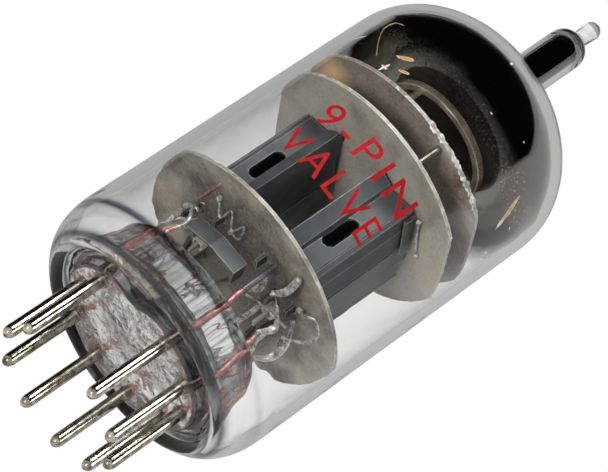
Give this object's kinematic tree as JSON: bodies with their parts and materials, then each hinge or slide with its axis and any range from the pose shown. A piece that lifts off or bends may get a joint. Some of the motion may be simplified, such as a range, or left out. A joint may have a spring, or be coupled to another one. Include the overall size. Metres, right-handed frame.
{
  "type": "vacuum tube",
  "caption": "Miniature glass vacuum tube: clear cylindrical bulb with a dark mirrored dome and nipple, an electrode cage between mica discs, and stiff pins in the flat base.",
  "frame": {"origin": "centre of the glass button's flat underside, on the axis of the pin circle", "axes": "+Z along the tube axis from the pins to the exhaust tip; -Y through the gap between pin 9 and pin 1"},
  "size_m": [0.0218, 0.0218, 0.0577],
  "materials": {
    "clear_glass": "polished, slightly grey",
    "pin_nickel": "drawn nickel, warm grey",
    "dumet_copper": "red oxidised copper cladding",
    "mica_sheet": "smoky split mica, pale edges",
    "anode_steel": "dark blue-grey carbonised sheet",
    "cathode_oxide": "nickel sleeve under white oxide",
    "heater_alumina": "white alumina coating",
    "grid_wire": "drawn wire",
    "getter_steel": "heat-stained steel",
    "getter_flash": "black-brown metal mirror",
    "strap_nickel": "welded nickel strip and wire",
    "print_ink": "thin red enamel print"
  },
  "bodies": {
    "root": {"glass_bulb": "clear_glass", "exhaust_nipple": "clear_glass", "exhaust_tail": "clear_glass", "button_stem": "clear_glass", "base_pin_1": "pin_nickel", "base_pin_2": "pin_nickel", "base_pin_3": "pin_nickel", "base_pin_4": "pin_nickel", "base_pin_5": "pin_nickel", "base_pin_6": "pin_nickel", "base_pin_7": "pin_nickel", "base_pin_8": "pin_nickel", "base_pin_9": "pin_nickel", "lead_in_1": "dumet_copper", "lead_in_2": "dumet_copper", "lead_in_3": "dumet_copper", "lead_in_4": "dumet_copper", "lead_in_5": "dumet_copper", "lead_in_6": "dumet_copper", "lead_in_7": "dumet_copper", "lead_in_8": "dumet_copper", "lead_in_9": "dumet_copper", "bottom_mica": "mica_sheet", "top_mica": "mica_sheet", "upper_mica": "mica_sheet", "anode_1_front": "anode_steel", "anode_1_back": "anode_steel", "anode_2_front": "anode_steel", "anode_2_back": "anode_steel", "cathode_1": "cathode_oxide", "cathode_2": "cathode_oxide", "heater_1": "heater_alumina", "heater_2": "heater_alumina", "grid_1": "grid_wire", "grid_2": "grid_wire", "getter_ring": "getter_steel", "getter_post": "getter_steel", "getter_mirror": "getter_flash", "mica_spacer_1": "grid_wire", "mica_spacer_2": "grid_wire", "strap_1": "strap_nickel", "strap_2": "strap_nickel", "strap_3": "strap_nickel", "strap_4": "strap_nickel", "strap_5": "strap_nickel", "strap_6": "strap_nickel", "strap_7": "strap_nickel", "strap_8": "strap_nickel", "strap_9": "strap_nickel", "heater_link": "strap_nickel"}
  },
  "joints": []
}
